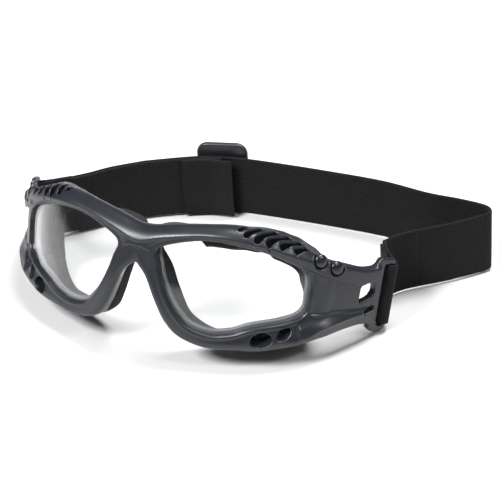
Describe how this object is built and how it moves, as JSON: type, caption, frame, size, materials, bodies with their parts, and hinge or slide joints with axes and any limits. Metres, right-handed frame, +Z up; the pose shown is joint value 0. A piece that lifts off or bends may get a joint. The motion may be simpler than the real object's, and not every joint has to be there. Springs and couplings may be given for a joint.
{
  "type": "sports protective goggles",
  "caption": "Wrap-around protective goggles with a moulded charcoal frame, clear lenses, vented brow, foam face gasket and an elastic head strap with a slider.",
  "frame": {"origin": "middle of the whole object's footprint, the strap included, on the table", "axes": "+Z up; the lenses face -Y; +X is the wearer's left; the frame's own symmetry plane is X = -8.9 mm"},
  "size_m": [0.1743, 0.1058, 0.0513],
  "materials": {
    "frame": "satin charcoal moulded plastic",
    "lens": "clear polycarbonate, hard coated",
    "retainer": "grey moulded lens retainer",
    "foam": "black closed-cell foam",
    "filter": "open-cell vent foam, dark",
    "stud": "satin charcoal moulded plastic",
    "strap": "black woven elastic webbing",
    "slider": "black moulded plastic"
  },
  "bodies": {
    "frame": {"front_frame": "frame", "lens_left": "lens", "lens_right": "lens", "lens_retainer_left": "retainer", "lens_retainer_right": "retainer", "face_foam_left": "foam", "face_foam_right": "foam", "brow_vent_filter_left": "filter", "brow_vent_filter_right": "filter", "lower_vent_filter_left": "filter", "lower_vent_filter_right": "filter", "stud_front_left": "stud", "stud_front_right": "stud", "stud_rear_left": "stud", "stud_rear_right": "stud", "strap_side_left": "strap", "strap_side_right": "strap"},
    "strap_end_left": {"strap_loop_left": "strap"},
    "strap_end_right": {"strap_loop_right": "strap"},
    "strap_rear": {"strap_back": "strap", "strap_return": "strap"},
    "slider": {"strap_slider": "slider"}
  },
  "joints": [
    {"name": "strap_stretch", "type": "slide", "parent": "frame", "child": "strap_rear", "axis": [0, 1, 0], "range_m": [0, 0.05], "stiffness_N_per_m": 120, "deforming": ["strap_side_left", "strap_side_right", "strap_return"]},
    {"name": "slider_adjust", "type": "slide", "parent": "strap_rear", "child": "slider", "axis": [0.9535, 0.3012, 0], "range_m": [0, 0.012]},
    {"name": "strap_swivel_left", "type": "hinge", "parent": "frame", "child": "strap_end_left", "pos_m": [0.06579, -0.00067, 0.0141], "axis": [0.0575, 0.3183, 0.9462], "range_deg": [-12, 12]},
    {"name": "strap_swivel_right", "type": "hinge", "parent": "frame", "child": "strap_end_right", "pos_m": [-0.08359, -0.00067, 0.0141], "axis": [0.0575, -0.3183, -0.9462], "range_deg": [-12, 12]}
  ]
}
